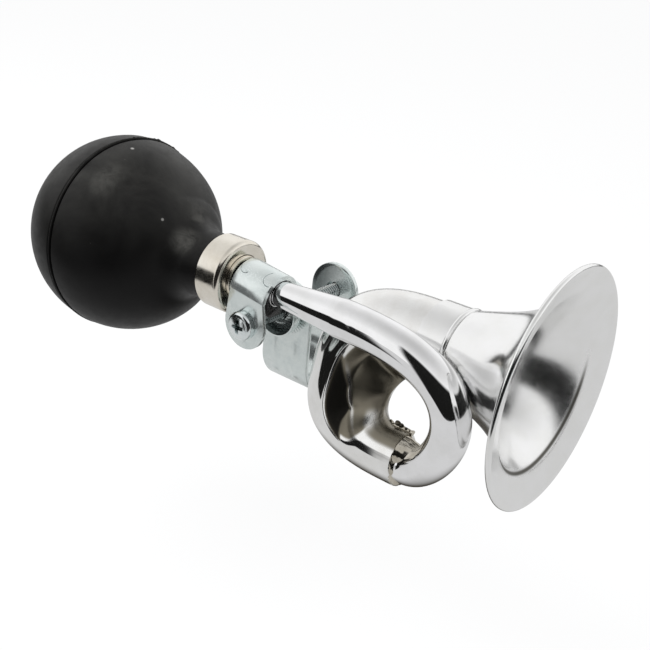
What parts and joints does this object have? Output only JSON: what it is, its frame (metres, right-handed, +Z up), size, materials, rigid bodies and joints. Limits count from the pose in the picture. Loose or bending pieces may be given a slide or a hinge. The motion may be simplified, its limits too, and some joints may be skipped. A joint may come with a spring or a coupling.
{
  "type": "bulb horn",
  "caption": "Looped bicycle bulb horn in bright metal with a black rubber ball, reed, flared bell and a U strap clamp that holds it on a handlebar.",
  "frame": {"origin": "centre of the handlebar bore, half way along the strap", "axes": "+X from the rubber ball towards the bell and along the handlebar bore, +Y along the clamp screw away from the horn, +Z up from the handlebar to the screw"},
  "size_m": [0.191, 0.0949, 0.0854],
  "materials": {
    "black_rubber": "matte moulded rubber with a mould line",
    "liner_rubber": "matte black rubber",
    "satin_nickel": "warm satin nickel plate",
    "reed_brass": "plain brass",
    "bright_chrome": "bright chrome plate with small pits",
    "grey_solder": "dull grey solder",
    "zinc_sheet": "bluish zinc plate on stamped sheet",
    "zinc_screw": "bright zinc plate"
  },
  "bodies": {
    "handlebar_clamp": {"handlebar_strap": "zinc_sheet", "clamp_nut": "zinc_screw"},
    "horn": {"pipe_clip": "zinc_sheet", "clip_liner": "liner_rubber", "mouthpipe": "bright_chrome", "loop_tube": "bright_chrome", "loop_solder": "grey_solder", "bell_sleeve": "bright_chrome", "bell": "bright_chrome", "bulb_ferrule": "satin_nickel", "neck_bush": "satin_nickel", "reed_plug": "reed_brass", "reed_shallot": "reed_brass", "reed_wedge": "reed_brass"},
    "screw": {"clamp_screw": "zinc_screw"},
    "bulb": {"rubber_bulb": "black_rubber"},
    "tongue": {"reed_tongue": "reed_brass"}
  },
  "joints": [
    {"name": "clamp_swivel", "type": "hinge", "parent": "handlebar_clamp", "child": "horn", "pos_m": [0, -0.0131, 0.0185], "axis": [0, -1, 0], "range_deg": [-5, 200]},
    {"name": "screw_turn", "type": "hinge", "parent": "handlebar_clamp", "child": "screw", "pos_m": [0, 0, 0.0185], "axis": [0, 1, 0], "continuous": true},
    {"name": "bulb_squeeze", "type": "slide", "parent": "horn", "child": "bulb", "axis": [1, 0, 0], "range_m": [0, 0.024], "stiffness_N_per_m": 600, "deforming": ["rubber_bulb"]},
    {"name": "reed_beat", "type": "hinge", "parent": "horn", "child": "tongue", "pos_m": [-0.02515, -0.0263, 0.03085], "axis": [0, 1, 0], "range_deg": [0, 4], "stiffness_Nm_per_rad": 0.002}
  ]
}
